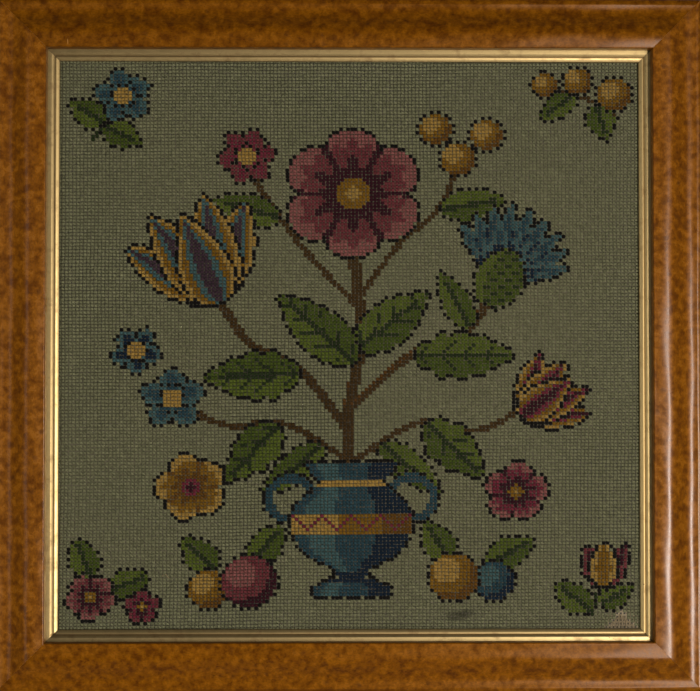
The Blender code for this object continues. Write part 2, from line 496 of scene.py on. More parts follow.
def birds_eye_maple(side, shift):
    """Maple veneer under amber varnish: small dark eyes in a mottled honey figure, a soft gloss."""
    sizes, shade = settings().rail, RAIL_SHADES[side]
    light, dark = shaded(sizes.maple_light, shade), shaded(sizes.maple_dark, shade)
    s = Surface(f"birds_eye_maple_{side}", light, 0.34)
    place = s.add("Mapping", s.inside, location=shift)
    swirled = s.stirred(place, 7, 0.0035)
    # Mottle, about a centimetre across, with finer curl inside it
    mottle = s.add("TexNoise", vector=swirled, scale=grain(5.5), detail=4.0, roughness=0.55)
    # Eyes, 4 mm across and about 8 mm apart, only some of the cells having one
    cells = s.add("TexVoronoi", vector=swirled, scale=grain(8))
    chosen = s.add("SeparateColor", cells.outputs["Color"])
    eye = s.add("Math", s.add("MapRange", cells, 0.10, 0.34, 1.0, 0.0),
                s.add("MapRange", chosen, 0.25, 0.80), operation="MULTIPLY")
    # Fine flecks across the grain
    long_way = s.add("Mapping", place, scale=(0.6, 1.0, 1.0))
    fleck = s.add("TexNoise", vector=long_way, scale=grain(1.1), detail=3.0)
    tone = s.layered(
        dark,
        (light, mottle, 0.34, 0.62),
        (linear("3a1d06"), eye, 0.0, 1.0, 0.0, 0.74),
        (linear("7a4308"), fleck, 0.35, 0.70, 0.0, 0.22),
        (dark, fleck, 0.36, 0.50, 0.34, 0.0),
    )
    # Old varnish, a little uneven
    ripple = s.add("TexNoise", vector=place, scale=grain(4), detail=4.0)
    return s.finished(s.marked(tone, RAIL_MARKS[side], 0.9), ripple, 0.22, 0.0006, **{
        "Roughness": s.add("MapRange", mottle, 0.3, 0.7, 0.40, 0.50),
        "Specular IOR Level": 0.14,
        "Specular Tint": linear("ffa930"),
        "Coat Weight": RAIL_GLOSS[side],
        "Coat Roughness": s.add("MapRange", mottle, 0.3, 0.7, 0.20, 0.30),
        "Coat IOR": 1.5,
    })


def raw_wood(name, base_hex):
    """Unfinished softwood, sawn: dull, with straight grain lines."""
    base = linear(base_hex)
    s = Surface(name, base, 0.82)
    long_way = s.add("Mapping", s.inside, scale=(0.04, 1.0, 1.0))
    lines = s.add("TexNoise", vector=long_way, scale=grain(2.2), detail=4.0, roughness=0.6)
    tone = s.layered(base, (shaded(base, 0.55), lines, 0.40, 0.68))
    return s.finished(tone, lines, 0.35, 0.0003)


def worn_gilt_painted_light(side, shift):
    """Gold leaf on gesso and clay: a soft metal shine, rubbed and grimy in places, with painted shade in the
    groove and each side's gold made lighter or darker as painted light.
    """
    # shade is the side's painted light: a share of the gold colours standing in for how the lamps fall on
    # that side
    sizes, shade = settings().slip, SLIP_PAINTED_LIGHT[side]
    leaf = shaded(sizes.gold_leaf, shade)
    s = Surface(f"worn_gilt_{side}", leaf, 0.45, 0.8)
    place = s.add("Mapping", s.inside, location=shift)
    patch = s.add("TexNoise", vector=place, scale=grain(9), detail=6.0, roughness=0.7)
    speck = s.add("TexNoise", vector=place, scale=grain(0.9), detail=2.0)
    # Grime and painted shade along the groove, which lies at a set distance from the sight edge: the
    # darker colour there stands partly for dirt and partly for the shade in the recess
    off = s.add("Math", s.add("SeparateXYZ", s.inside).outputs["Z"], sizes.groove_u, operation="SUBTRACT")
    off = s.add("Math", off, operation="ABSOLUTE")
    tone = s.layered(
        leaf,
        (shaded(sizes.worn_leaf, shade), patch, 0.52, 0.72, 0.0, 0.75),
        (linear("5a4526"), off, 0.0003, 0.0016, 0.42, 0.0),
        (linear("4a3519"), speck, 0.62, 0.80, 0.0, 0.4),
    )
    return s.finished(s.marked(tone, SLIP_MARKS[side], 0.9), patch, 0.12, 0.0003,
                      Roughness=s.add("MapRange", patch, 0.35, 0.75, 0.37, 0.50))


def dyed_wool(name, base, marks=()):
    """Two-ply crewel wool: quite matt, each strand its own depth of dye, soiled with age."""
    s = Surface(name, base, 0.95)
    age = s.add("TexNoise", vector=s.inside, scale=grain(45), detail=4.0)
    tone = s.layered(
        shaded(base, 0.82),
        (shaded(base, 1.18, 0.002), s.add("NewGeometry").outputs["Random Per Island"]),
        (shaded(base, 0.86), age, 0.35, 0.65, 0.0, 0.30),
    )
    fibre = s.add("Mapping", s.inside, scale=(1.0, 1.0, 0.3))
    ply = s.add("TexNoise", vector=fibre, scale=grain(0.4))
    return s.finished(s.marked(tone, marks, 0.55), ply, 0.5, 0.0002, **{"Specular IOR Level": 0.06})


def bare_canvas(name):
    """Stiffened linen canvas: coarse beige threads crossing, painted darker as shade except in the worn
    corner, with painted shade in the holes between them.
    """
    sizes = settings().canvas
    # Outside the worn corner the thread takes this darker colour, which is painted shade
    base = tuple(sizes.canvas_in_painted_shade)
    s = Surface(name, base, 0.9)
    pale = s.add("Mapping", s.inside, vector_type="TEXTURE", location=WORN_PLACE, scale=WORN_REACH)
    pale = s.add("VectorMath", pale, operation="LENGTH")
    thread = s.layered(tuple(sizes.bare_canvas), (base, pale, 0.8, 1.0))
    warp, weft = (
        s.add("TexWave", vector=s.inside, scale=one_wave(pitch), bands_direction=way).outputs["Fac"]
        for way, pitch in (("X", sizes.stitch_w), ("Z", sizes.stitch_h))
    )
    threads = s.add("Math", warp, weft, operation="MAXIMUM")
    # The holes between the threads are painted shade, a fifth of that colour
    tone = s.layered(shaded(base, 0.2), (thread, threads, 0.25, 0.75))
    return s.finished(tone, threads, 0.8, 0.0004)


def matt_floor(name):
    """Pale matt paint with a very faint mottle."""
    base = tuple(settings().stage.floor_colour)
    s = Surface(name, base, 0.9)
    mottle = s.add("TexNoise", vector=s.inside, scale=grain(300), detail=3.0)
    tone = s.layered(base, ((0.5, 0.5, 0.5), mottle, 0.3, 0.7, 0.0, 0.06))
    s.put(s.shader, {"Base Color": tone})
    return s.made


def add_object(name, data):
    """Puts an object with this mesh, lamp or camera in the scene."""
    made = bpy.data.objects.new(name, data)
    bpy.context.scene.collection.objects.link(made)
    return made


def add_piece(name, mesh, surfaces, replaced=(), place=Matrix.Translation(OPENING_MID)):
    """Puts a mesh in the scene as a piece of the object, at the work's middle unless placed."""
    for surface in surfaces:
        mesh.materials.append(surface)
    made = add_object(name, mesh)
    made.matrix_world = place
    if replaced:
        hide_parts(*replaced)
    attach(made, "root")
    return made


def new_mesh(name, vertices, faces):
    """A smooth mesh of these corners and faces."""
    mesh = bpy.data.meshes.new(name)
    mesh.from_pydata(vertices, [], faces)
    mesh.shade_smooth()
    return mesh


def waves(x, z, table):
    """A sum of waves at a place, each with its share, radians per metre both ways and phase."""
    return sum(share * np.sin(across * x + up * z + phase) for share, across, up, phase in table)


def even(part):
    """Share of the way that goes evenly."""
    return part


def eased(part):
    """Share of the way that is level at both ends."""
    return (1 - math.cos(math.pi * part)) / 2


def rising(part):
    """Share of the way that is level at its start and steepest at its end."""
    return 1 - math.cos(math.pi / 2 * part)


def turning(part):
    """Share of the way that is steepest at its start and level at its end."""
    return math.sin(math.pi / 2 * part)


def stretch(start, end, steps, across, up):
    """Points of a curve after its start, with how its shares of the way go across and up."""
    return [
        tuple(a + (b - a) * share(step / steps) for a, b, share in zip(start, end, (across, up)))
        for step in range(1, steps + 1)
    ]


def rail_section(steps):
    """The maple moulding: its shown face, then its raw back and rebate."""
    s = settings().rail
    rail_w = RAIL_HIGH.x - RAIL_LOW.x + VENEER_T
    shoulder, crest = (s.shoulder_u, s.shoulder_h), (s.crest_u, s.crest_h)
    hollow, edge = (s.hollow_u, s.hollow_h), (s.edge_u, s.edge_h)
    face = [(0.0, s.lip_back_h)]
    face += reversed(stretch(shoulder, (0.0, s.lip_h), steps, turning, rising))
    face += reversed(stretch(crest, shoulder, steps, even, rising))
    face += [crest, *stretch(crest, hollow, 2 * steps, even, eased)]
    face += stretch(hollow, edge, steps, even, rising)
    face += [*stretch(edge, (rail_w, s.side_h), steps, turning, rising), (rail_w, s.arris)]
    return face, [(rail_w - s.arris, 0.0), (s.rebate_w, 0.0), (s.rebate_w, s.lip_back_h)]


def slip_section(steps):
    """The gilt slip: its shown face, then the parts that are hidden."""
    s = settings().slip
    outer_u = SLIP_HIGH.x - SLIP_LOW.x
    bead = (s.bead_u, s.bead_h)
    face = [(0.0, 0.0), (0.0, s.foot_h), *reversed(stretch(bead, (s.nose_u, s.nose_h), steps, even, rising))]
    face += [bead, (s.groove_u, s.groove_h), (s.step_u, s.step_h), (s.band_u, s.band_h)]
    face += [(SLIP_SIGHT_W, s.seat_h), (outer_u, s.seat_h)]
    return face, [(outer_u, 0.0)]


def moulded_bar(kind, side, section, surfaces, wobble, set_back, inset=0.0, base_h=0.0):
    """A mitred bar along one side of the opening, its shown face slightly uneven along its length."""
    slot_name, node = kind.split("_")
    face, back = section
    turn, half_length, distance = SIDES[side]
    u, h = np.array(face + back).T
    x = np.linspace(-1.0, 1.0, BAR_STATIONS + 1)[:, None] * (half_length - inset + u - set_back)
    phase = BAR_PHASE * list(SIDES).index(side)
    stray = waves(x, u, [(share, along, across, turns * phase) for share, along, across, turns in BAR_WAVES])
    shown = np.r_[0.0, np.ones(len(face) - 2), 0.0, np.zeros(len(back))]
    vertices = np.stack([x, -(h + wobble * stray * shown), np.broadcast_to(u, x.shape)], axis=2)
    count = len(u)
    faces, kinds = [], []
    for low in range(0, BAR_STATIONS * count, count):
        high = low + count
        for number in range(count):
            after = (number + 1) % count
            faces.append((low + number, low + after, high + after, high + number))
            kinds.append(SHOWN if number < len(face) - 1 else HIDDEN)
    faces += [tuple(reversed(range(count))), tuple(range(high, high + count))]
    mesh = new_mesh(f"{kind}_{side}", vertices.reshape(-1, 3).tolist(), faces)
    mesh.polygons.foreach_set("material_index", kinds + [HIDDEN, HIDDEN])
    mesh.set_sharp_from_angle(angle=BAR_ARRIS)
    reach = distance - inset
    place = Vector((reach * math.sin(turn), -base_h, OPENING_MID.z + reach * math.cos(turn)))
    add_piece(mesh.name, mesh, surfaces, (f"{node}_{side}",),
              Matrix.Translation(place) @ Matrix.Rotation(turn, 4, "Y"))


def swell(x, z):
    """How far the canvas stands proud of its tucked edge at this place."""
    across, up = (
        np.clip(1 - (place / (size / 2 - FLAT_MARGIN)) ** 2, 0, None)
        for place, size in ((x, OPENING_W), (z, OPENING_H))
    )
    share = SWELL_SHARE + LUMP_SHARE * waves(x, z, LUMPS)
    return settings().canvas.swell * np.sqrt(across * up) * share


class Chart:
    """The stitch plan: a yarn for each crossing of the canvas, drawn with counted shapes."""

    def __init__(self, columns, rows):
        self.x, self.y = np.meshgrid(np.arange(columns), np.arange(rows))
        self.yarn = np.full((rows, columns), YARN_NUMBER["ground"])

    def work(self, shape, *layers):
        """Works a shape in yarns, each in its own part of the shape."""
        for yarn, part in layers:
            self.yarn[shape & part] = YARN_NUMBER[yarn]

    def around(self, centre):
        """Distance from a centre, in stitches, and the turn from its right."""
        across, up = self.x - centre[0], self.y - centre[1]
        return np.hypot(across, up), np.arctan2(up, across)

    def blade(self, base, tip, half_width):
        """A shape on a line, with a rule for its half width, and each stitch's place on the line (0 to 1),
        distance to its left and half width there."""
        run, rise = tip[0] - base[0], tip[1] - base[1]
        reach = math.hypot(run, rise)
        across, up = self.x - base[0], self.y - base[1]
        t, d = (across * run + up * rise) / reach**2, (up * run - across * rise) / reach
        half = half_width(np.clip(t, 0, 1))
        return (t > 0) & (t < 1) & (np.abs(d) < half), t, d, half

    def outline(self, mask, rhythm=DOTTED):
        """Black stitches round a shape, worked with gaps in the given rhythm."""
        edge = np.zeros_like(mask)
        edge[1:] |= mask[:-1]
        edge[:-1] |= mask[1:]
        edge[:, 1:] |= mask[:, :-1]
        edge[:, :-1] |= mask[:, 1:]
        left = {(int(row), int(column)) for row, column in zip(*np.nonzero(edge & ~mask))}
        steps = ((0, 1), (1, 0), (0, -1), (-1, 0), (1, 1), (1, -1), (-1, -1), (-1, 1))
        count, place = 0, None
        while left:
            place = place or min(left)
            left.discard(place)
            if rhythm[count % len(rhythm)]:
                self.yarn[place] = YARN_NUMBER["black"]
            count += 1
            near = [(place[0] + row, place[1] + column) for row, column in steps]
            place = next((spot for spot in near if spot in left), None)


def leaf(chart, base, tip, width, teeth=0.0):
    """A pointed leaf with a lit half, a dark rib and side veins."""
    reach = math.dist(base, tip)
    mask, t, d, edge = chart.blade(base, tip, lambda t: 0.3 + (
        width / 2 * np.sin(np.pi * t ** 0.8) ** 0.85 * (1 + teeth * np.sin(t * reach * 1.1))))
    veins = ((t * reach - np.abs(d) * 1.2) % 6 < 1.1) & (np.abs(d) < 0.72 * edge)
    chart.work(
        mask, ("mid green", True), ("light green", d > 0.1 * edge), ("dark green", veins & (width > 9)),
        ("dark green", (np.abs(d) < 0.7) & (t < 0.86)),
    )
    chart.outline(mask, DASHED if width > 9 else DOTTED)


def stem(chart, points, width, shades=("brown", "rust")):
    """A stem through a few points, lighter down one side if it is thick."""
    spots = [points[0], *points, points[-1]]
    for first, start, end, last in zip(spots, spots[1:], spots[2:], spots[3:]):
        for t in np.linspace(0, 1, int(3 * math.dist(start, end)) + 1):
            x, y = (
                0.5 * (2 * b + (c - a) * t + (2 * a - 5 * b + 4 * c - d) * t**2
                       + (3 * b - a - 3 * c + d) * t**3)
                for a, b, c, d in zip(first, start, end, last)
            )
            away, beside = (chart.around((place, y))[0] for place in (x, x - width / 4))
            chart.work(away <= width / 2, (shades[0], True),
                       (shades[-1], (beside <= width / 4) & (width > 2)))


def round_flower(chart, centre, radius, petals, turn, shades, heart):
    """An open flower with round petals, darker towards its heart."""
    rim, mid, dark = shades
    r, a = chart.around(centre)
    a = a - turn
    lobe = np.abs(np.cos(petals * a / 2)) ** 0.55
    edge = radius * (0.74 + 0.26 * lobe)
    mask, part = r < edge, r / edge
    chart.work(
        mask, (rim, True), (mid, part < 0.80 + 0.06 * np.cos(3 * petals * a)),
        (dark, part < 0.52 + 0.10 * np.cos(2 * petals * a)), (dark, (lobe < 0.42) & (part > 0.3)),
        (heart[0], r < 0.24 * radius), (heart[1], r < 0.11 * radius),
    )
    chart.outline(mask, DASHED)


def petal(chart, base, tip, width, stripes, blunt=0.7):
    """A petal with stripes from its rim to its middle; stripes are shares of its half width."""
    mask, t, d, half = chart.blade(
        base, tip, lambda t: width / 2 * np.sin(np.pi * t ** blunt) ** 0.75 + 0.2)
    share = np.abs(d) / half + 0.45 * np.clip(t - 0.6, 0, 1)
    chart.work(mask, *((yarn, share < limit) for limit, yarn in stripes))
    chart.outline(mask, DASHED)


def cup_flower(chart, base, tip, width, stripes):
    """A tulip: two curling side petals behind, two at the shoulders and one in front."""
    run, rise = tip[0] - base[0], tip[1] - base[1]
    reach = math.hypot(run, rise)
    # Each petal: how far it reaches along the flower and to its side, its width and bluntness
    for along, aside, wide, blunt in (
        (0.80, -0.78, 0.50, 0.95), (0.80, 0.78, 0.50, 0.95),
        (1.0, -0.36, 0.62, 0.75), (1.0, 0.36, 0.62, 0.75), (0.90, 0.0, 0.62, 0.62),
    ):
        end = (base[0] + along * run - aside * width * rise / reach,
               base[1] + along * rise + aside * width * run / reach)
        petal(chart, base, end, width * wide, stripes, blunt)


def star_flower(chart, centre, radius, petals, turn, shades):
    """A small flower of separate pointed petals round a pale gold heart."""
    rim, middle = shades
    for number in range(petals):
        a = turn + 2 * math.pi * number / petals
        tip = (centre[0] + radius * math.cos(a), centre[1] + radius * math.sin(a))
        mask, t, d, half = chart.blade(
            centre, tip, lambda t: radius * 0.36 * np.sin(np.pi * t ** 1.15) ** 0.8 + 0.2)
        chart.work(mask, (rim, True), (middle, (np.abs(d) < 0.45 * half) & (t < 0.8)))
        chart.outline(mask & (t > 0.45))
    chart.work(chart.around(centre)[0] < 0.26 * radius + 0.6, ("light gold", True))


def fan_flower(chart, base, turn, radius, spread, teeth, shades):
    """A carnation: a fan with a toothed rim over a scaled green cup."""
    r, a = chart.around(base)
    off = np.angle(np.exp(1j * (a - turn)))
    beat = off / spread * math.pi * teeth
    wave = np.cos(beat)
    edge = radius * (0.90 + 0.10 * wave) * (1 - 0.22 * (off / spread) ** 2)
    mask = (np.abs(off) < spread) & (r < edge) & (r > radius * 0.22)
    part = r / edge
    bands = zip(shades, (9, 0.84, 0.66, 0.50))
    chart.work(mask, *((yarn, part < limit + 0.05 * wave) for yarn, limit in bands),
               (shades[-1], (np.abs(np.cos(beat / 2)) < 0.22) & (part > 0.45) & (part < 0.92)))
    chart.outline(mask, DASHED)
    foot, crown = (
        (base[0] + share * radius * math.cos(turn), base[1] + share * radius * math.sin(turn))
        for share in (-0.22, 0.46)
    )
    cup, _, d, half = chart.blade(
        foot, crown, lambda t: radius * 0.26 * np.sin(np.pi * (t * 0.86 + 0.1)) ** 0.7)
    scales = ((chart.x + chart.y) % 4 < 2) & ((chart.x - chart.y) % 4 < 2)
    chart.work(cup, ("mid green", True), ("dark green", scales), ("light green", d > 0.55 * half))
    chart.outline(cup)


def fruit(chart, centre, radius, shades):
    """A round fruit, lit from one side."""
    light, mid, dark = shades
    mask = chart.around(centre)[0] < radius
    lit, _ = chart.around((centre[0] - 0.30 * radius, centre[1] + 0.30 * radius))
    chart.work(mask, (mid, True), (light, lit < 0.55 * radius), (dark, lit > 1.02 * radius))
    chart.outline(mask)


def vase(chart, centre, foot, height, half_width):
    """A footed blue vase with a gold girdle and two handles."""
    up = (chart.y - foot) / height
    across = chart.x - centre
    body = half_width * np.interp(up, *zip(*VASE_PROFILE))
    for side in (-1, 1):
        r, _ = chart.around((centre + side * half_width * 0.98, foot + height * 0.74))
        handle = r < height * 0.19
        chart.work(handle, ("mid blue", r > height * 0.19 - 2.4))
        chart.outline(handle)
    mask = (up >= 0) & (up <= 1) & (np.abs(across) < body)
    share = across / body
    girdle = (up > 0.46) & (up < 0.62)
    zigzag = np.abs(across % 8 - 4) + foot + 0.50 * height
    chart.work(
        mask, ("mid blue", True), ("light blue", (share < -0.30) & (share > -0.78)), ("navy", share > 0.42),
        ("mid gold", girdle), ("light gold", girdle & (share < -0.2)), ("dark gold", girdle & (share > 0.5)),
        ("crimson", girdle & (np.abs(chart.y - zigzag) < 0.6)), ("navy", np.abs(up - 0.13) < 0.03),
        ("light gold", np.abs(up - 0.86) < 0.025),
    )
    chart.outline(mask, DASHED)


ROSE = ("light rose", "mid rose", "wine")
GOLD = ("light gold", "mid gold", "dark gold")
BLUE = ("light blue", "mid blue")
GOLD_HEART = ("mid gold", "light gold")
COOL_STRIPES = ((2, "light gold"), (0.80, "mid gold"), (0.56, "light blue"), (0.30, "mauve"))
WARM_STRIPES = ((2, "light gold"), (0.82, "mid gold"), (0.55, "crimson"), (0.28, "wine"))
ROSE_STRIPES = ((2, "mid rose"), (0.5, "wine"))

# What is worked, in its order: a vase of flowers with fruit by its foot, and a sprig in each corner
PLAN = {
    # Points that it passes through, width and, unless brown and rust, its shade
    stem: (
        (((80, 44), (79, 62), (82, 84), (80, 112)), 3.2),
        (((79, 58), (66, 76), (52, 84), (44, 96)), 2.4),
        (((81, 66), (96, 80), (110, 86), (118, 98)), 2.4),
        (((78, 50), (62, 60), (46, 60), (34, 66)), 1.8),
        (((82, 50), (98, 60), (114, 58), (126, 64)), 1.8),
        (((81, 96), (92, 112), (104, 124), (108, 134)), 1.6),
        (((80, 96), (68, 110), (58, 124), (52, 134)), 1.6),
        (((9, 144), (13, 150), (17, 155)), 1.2, ("dark green",)),
        (((153, 150), (146, 155), (137, 158)), 1.2, ("brown",)),
        (((146, 4), (147, 9), (149, 13)), 1.4, ("dark green",)),
    ),
    # Base, tip, width and, where its rim has teeth, their depth
    leaf: (
        ((66, 75), (40, 74), 13, 0.10), ((97, 80), (124, 80), 12, 0.10), ((81, 82), (100, 98), 12),
        ((81, 78), (60, 98), 12), ((60, 60), (46, 44), 11, 0.12), ((100, 60), (116, 45), 11, 0.12),
        ((72, 54), (56, 40), 8), ((88, 54), (104, 40), 8), ((104, 123), (122, 126), 8),
        ((60, 121), (42, 126), 8), ((112, 88), (104, 104), 7), ((43, 17), (34, 27), 8),
        ((53, 20), (61, 30), 8), ((117, 19), (130, 26), 8), ((107, 20), (100, 31), 8),
        ((12, 149), (3, 155), 7), ((12, 148), (22, 143), 7), ((147, 154), (150, 144), 7),
        ((141, 157), (132, 150), 6), ((14, 12), (25, 16), 7), ((9, 16), (5, 27), 7),
        ((146, 5), (136, 13), 7), ((148, 7), (157, 12), 6),
    ),
    # Base, tip, width and stripes
    cup_flower: (((44, 96), (32, 124), 22, COOL_STRIPES), ((126, 62), (141, 74), 14, WARM_STRIPES)),
    # Base, turn, radius, spread, teeth and shades
    fan_flower: (((119, 100), 1.15, 25, 0.98, 9, ("light blue", "mid blue", "light blue", "navy")),),
    # Middle, radius, petals, turn, shades and heart
    round_flower: (
        ((80, 128), 19, 6, 0.52, ROSE, GOLD_HEART),
        ((36, 42), 9.5, 5, 0.6, GOLD, ("crimson", "wine")),
        ((125, 40), 8.5, 5, 0.2, ("light rose", "crimson", "wine"), GOLD_HEART),
        ((9, 10), 6.6, 5, 0.9, ROSE, GOLD_HEART),
        ((23, 7), 4.6, 5, 0.3, ("mid rose", "crimson", "wine"), GOLD_HEART),
    ),
    # Middle, radius, petals, turn and shades
    star_flower: (
        ((31, 68), 9, 5, 0.35, BLUE), ((21, 82), 7, 5, 1.0, ("light blue", "navy")),
        ((51, 139), 8, 6, 0.2, ("mid rose", "crimson")), ((17, 157), 8, 5, 0.5, BLUE),
    ),
    # Middle, radius and shades
    fruit: (
        ((109, 138), 5.0, GOLD), ((117, 145), 4.4, GOLD), ((103, 147), 4.4, GOLD), ((41, 12), 5.6, GOLD),
        ((52, 14), 7.4, ROSE), ((119, 14), 5.6, (*BLUE, "navy")), ((108, 15), 6.8, GOLD),
        ((152, 157), 4.6, GOLD), ((142, 161), 3.9, GOLD), ((133, 160), 3.4, GOLD),
    ),
    # Middle, foot, height and half width
    vase: ((80, 10, 38, 17),),
    # Base, tip, width, stripes and bluntness
    petal: (
        ((149, 12), (144, 24), 6, ROSE_STRIPES, 0.8), ((149, 12), (155, 24), 6, ROSE_STRIPES, 0.8),
        ((149, 12), (149, 25), 7, ((2, "light gold"), (0.55, "mid gold")), 0.8),
    ),
}


def vase_of_flowers():
    """The whole chart, worked from the plan."""
    chart = Chart(COLUMNS, ROWS)
    for shape, places in PLAN.items():
        for place in places:
            shape(chart, *place)
    return chart


class Stitching:
    """Every stitch's place, size and yarn, worked out once for all the stitch pieces."""

    def __init__(self):
        s = settings().canvas
        chance = np.random.default_rng(SEED)
        self.column, self.row = np.meshgrid(np.arange(COLUMNS), np.arange(ROWS))
        x = (self.column - (COLUMNS - 1) / 2) * s.stitch_w
        z = (self.row - (ROWS - 1) / 2) * s.stitch_h

        def uneven(mean, spread, low, high):
            return np.clip(chance.normal(mean, spread, x.shape), low, high)

        jitter = PLACE_JITTER * s.stitch_w
        self.x = x + s.drift * waves(x, z, DRIFT_ACROSS) + chance.normal(0, jitter, x.shape)
        self.z = z + s.drift * waves(x, z, DRIFT_UP) + chance.normal(0, jitter, x.shape)
        self.width = s.yarn_w / 2 * uneven(*STRAND_WIDTHS)
        self.rise = s.yarn_h * uneven(*STRAND_RISES)
        self.foot = CANVAS_BACK_H + STRAND_FOOT * s.canvas_t + swell(self.x, self.z)
        self.run, self.climb = STRAND_RUN * s.stitch_w, STRAND_CLIMB * s.stitch_h
        self.yarn = vase_of_flowers().yarn
        # The motifs are worked in thicker wool than the ground, and the black is the thickest
        self.width[self.yarn != YARN_NUMBER["ground"]] *= MOTIF_WIDER
        black = self.yarn == YARN_NUMBER["black"]
        self.width[black] *= BLACK_WIDER
        self.rise[black] *= BLACK_HIGHER


def strand(stitching, chosen, rings, lean):
    """Vertices of one strand for every chosen stitch, and the faces of the first."""
    x, z, foot, width, top = (
        part[chosen] for part in
        (stitching.x, stitching.z, stitching.foot, stitching.width, stitching.rise)
    )
    run, rise = stitching.run, stitching.climb * lean
    reach = math.hypot(run, rise)
    points = []
    sides = [spot for along, wide, high in rings
             for spot in ((along, -wide, 0), (along, 0, high), (along, wide, 0))]
    for along, across, high in [(0.0, 0, 0), *sides, (1.0, 0, 0)]:
        points.append(np.stack([
            x + (along - 0.5) * run - across * width * rise / reach,
            -(foot + high * top),
            z + (along - 0.5) * rise + across * width * run / reach,
        ], axis=1))
    last = len(points) - 1
    a = last - 3
    faces = [(0, 2, 1), (0, 3, 2), (0, 1, 3)]
    for b in range(1, a, 3):
        faces += [(b, b + 1, b + 4, b + 3), (b + 1, b + 2, b + 5, b + 4), (b + 2, b, b + 3, b + 5)]
    faces += [(last, a, a + 1), (last, a + 1, a + 2), (last, a + 2, a)]
    return np.stack(points, axis=1), faces, [True, True, False] * (len(rings) + 1)


def stitch_piece(name, stitching, chosen, yarns, wools):
    """One mesh of crossed strands, with a material for each of its yarns."""
    under, under_faces, under_smooth = strand(stitching, chosen, UNDER_RINGS, 1)
    upper, upper_faces, upper_smooth = strand(stitching, chosen, UPPER_RINGS, -1)
    vertices = np.concatenate([under, upper], axis=1)
    count, each = vertices.shape[:2]
    faces = under_faces + [tuple(v + under.shape[1] for v in face) for face in upper_faces]
    corners = np.array([v for face in faces for v in face])
    corners = (corners[None, :] + each * np.arange(count)[:, None]).ravel()
    starts = np.concatenate([[0], np.cumsum(np.tile([len(face) for face in faces], count))[:-1]])
    mesh = bpy.data.meshes.new(name)
    mesh.vertices.add(count * each)
    mesh.vertices.foreach_set("co", vertices.ravel())
    mesh.loops.add(len(corners))
    mesh.loops.foreach_set("vertex_index", corners)
    mesh.polygons.add(len(starts))
    mesh.polygons.foreach_set("loop_start", starts)
    mesh.update(calc_edges=True)
    mesh.polygons.foreach_set("use_smooth", np.tile(under_smooth + upper_smooth, count))
    order = [yarns.index(list(YARNS)[number]) for number in stitching.yarn[chosen]]
    mesh.polygons.foreach_set("material_index", np.repeat(order, len(faces)))
    mesh.validate()
    return add_piece(name, mesh, [wools[yarn] for yarn in yarns])


def thread_paths(stitching):
    """Points of each loose thread: place across, height on the work, and rise over the canvas."""
    chance = np.random.default_rng(SEED)
    canvas = settings().canvas
    foot_x, foot_z = stitching.x[0, WORN_COLUMN], stitching.z[0, WORN_COLUMN]
    middle = (THREADS - 1) / 2
    paths = []
    for number in range(THREADS):
        lean = (number - middle) / middle
        reach = FAN_H * (1 - FAN_SHORTENING * abs(lean)) * chance.uniform(*THREAD_LENGTHS)
        paths.append([
            (foot_x + FAN_HALF_W * lean - FAN_LEAN_IN * lean * t + chance.normal(0, THREAD_STRAY),
             foot_z + FAN_FOOT_H + reach * t,
             canvas.canvas_t + THREAD_LIFT
             + THREAD_ARCH * math.sin(math.pi * t) * chance.uniform(*THREAD_BENDS))
            for t in np.linspace(0, 1, THREAD_POINTS)
        ])
    x, z = LINT_PLACE
    paths.append([
        (x + LINT_LENGTH * (t - 0.5), z + LINT_BEND * math.sin(LINT_TURN * t), canvas.yarn_h + LINT_LIFT)
        for t in np.linspace(0, 1, LINT_POINTS)
    ])
    return paths


def loose_threads(stitching):
    """Canvas threads that have sprung up in the worn corner, and one bit of lint."""
    vertices, faces = [], []
    sides = THREAD_SIDES
    for path in thread_paths(stitching):
        start = len(vertices)
        for x, z, height in path:
            foot = CANVAS_BACK_H + float(swell(np.array(x), np.array(z)))
            for turn in np.linspace(0, math.tau, sides, endpoint=False):
                rise = foot + height + THREAD_R * math.sin(turn)
                vertices.append((x + THREAD_R * math.cos(turn), -rise, z))
        end = len(vertices)
        for low in range(start, end - sides, sides):
            for number in range(sides):
                after = (number + 1) % sides
                faces.append((low + number, low + after, low + sides + after, low + sides + number))
        faces += [tuple(range(end - sides, end)), tuple(reversed(range(start, start + sides)))]
    mesh = new_mesh("loose_threads", vertices, faces)
    return add_piece(mesh.name, mesh, [dyed_wool("linen_thread", linear("8a795c"))])


class EMBROIDERY_OT_rails(Operator):
    """Makes the four veneered maple rails"""

    bl_idname = "embroidery.rails"
    bl_label = "Maple rails"

    def execute(self, context):
        backs = raw_wood("raw_pine_back", "8a6d47")
        for number, side in enumerate(SIDES):
            maple = birds_eye_maple(side, number * RAIL_SHIFT)
            moulded_bar("maple_rail", side, rail_section(RAIL_CURVE_STEPS), (maple, backs),
                        settings().rail.wobble, RAIL_SET_BACK)
        return {"FINISHED"}


class EMBROIDERY_OT_slips(Operator):
    """Makes the four gilt slips"""

    bl_idname = "embroidery.slips"
    bl_label = "Gilt slips"

    def execute(self, context):
        hidden = raw_wood("raw_slip_edge", "7d6441")
        for number, side in enumerate(SIDES):
            gilt = worn_gilt_painted_light(side, number * SLIP_SHIFT)
            moulded_bar("gilt_slip", side, slip_section(SLIP_CURVE_STEPS), (gilt, hidden),
                        settings().slip.wobble, SLIP_SET_BACK, SLIP_SIGHT_W, SLIP_BACK_H)
        return {"FINISHED"}


